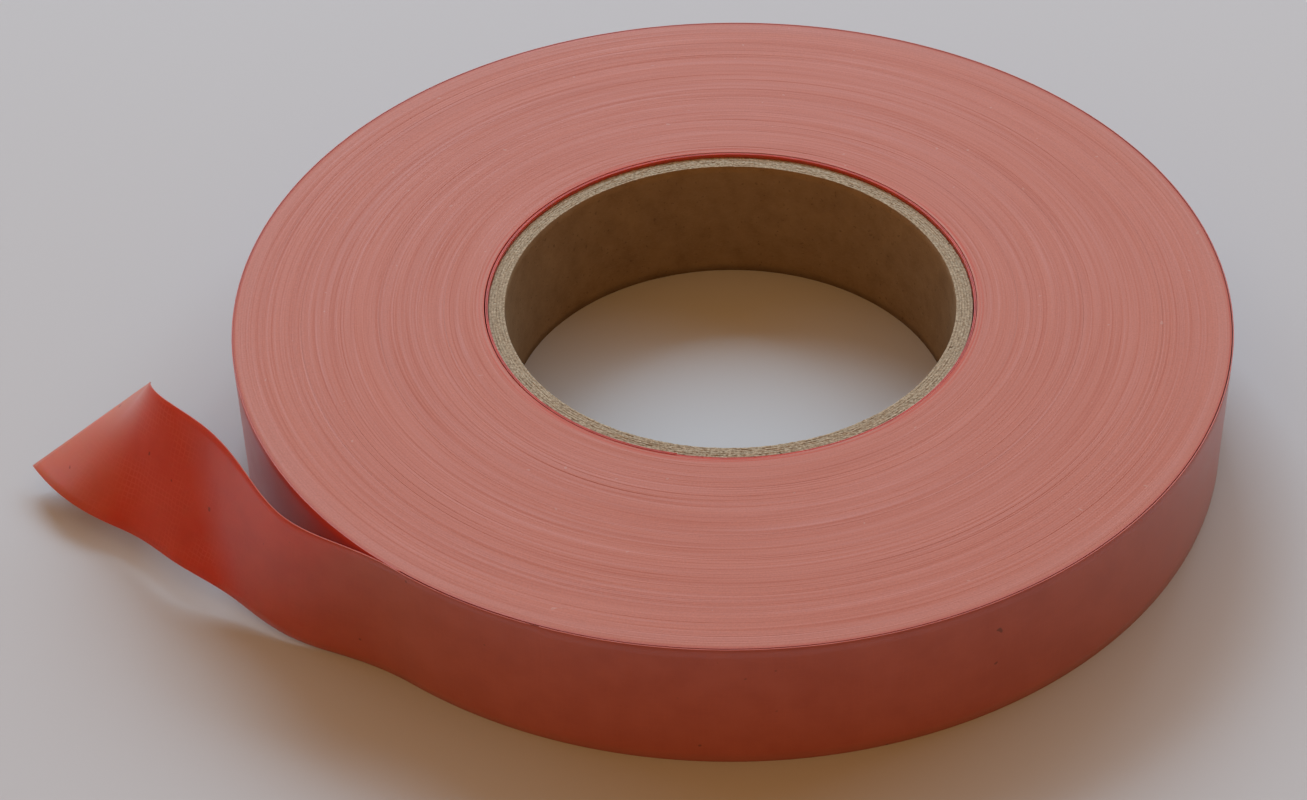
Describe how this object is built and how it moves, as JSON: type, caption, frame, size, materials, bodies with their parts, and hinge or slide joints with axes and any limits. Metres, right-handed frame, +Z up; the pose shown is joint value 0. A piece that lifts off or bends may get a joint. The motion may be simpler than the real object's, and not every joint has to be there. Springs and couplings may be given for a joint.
{
  "type": "electrical tape roll",
  "caption": "Wide roll of electrical tape wound on a paperboard core, lying flat, with its free end peeled loose and twisted.",
  "frame": {"origin": "on the roll's axis at the lower end of the core's bore, level with the surface that the roll lies on", "axes": "+Z up along the bore; +X to the right and +Y away from a viewer who sees the free end at the left"},
  "size_m": [0.2021, 0.1679, 0.0266],
  "materials": {
    "core_board": "grey-brown paperboard, rough cut ends",
    "tape_edges": "matte stack of slit film edges, salmon",
    "tape_film": "satin translucent soft film, orange-red",
    "tape_adhesive": "tacky clear layer with a low sheen"
  },
  "bodies": {
    "roll": {"core_liner_ply": "core_board", "core_ply_2": "core_board", "core_ply_3": "core_board", "core_ply_4": "core_board", "core_ply_5": "core_board", "core_outer_ply": "core_board", "first_wraps": "tape_film", "wraps_inner": "tape_edges", "wraps_lower_middle": "tape_edges", "wraps_upper_middle": "tape_edges", "wraps_outer": "tape_edges"},
    "last_turn": {"outer_wrap": "tape_film"},
    "tail": {"tail_film": "tape_film", "tail_adhesive": "tape_adhesive"}
  },
  "joints": [
    {"name": "unwind", "type": "hinge", "parent": "roll", "child": "last_turn", "pos_m": [0, 0, 0.012], "axis": [0, 0, 1], "continuous": true},
    {"name": "tail_peel", "type": "hinge", "parent": "last_turn", "child": "tail", "pos_m": [-0.05056, -0.0671, 0.012], "axis": [0, 0, 1], "range_deg": [0, 90]}
  ]
}
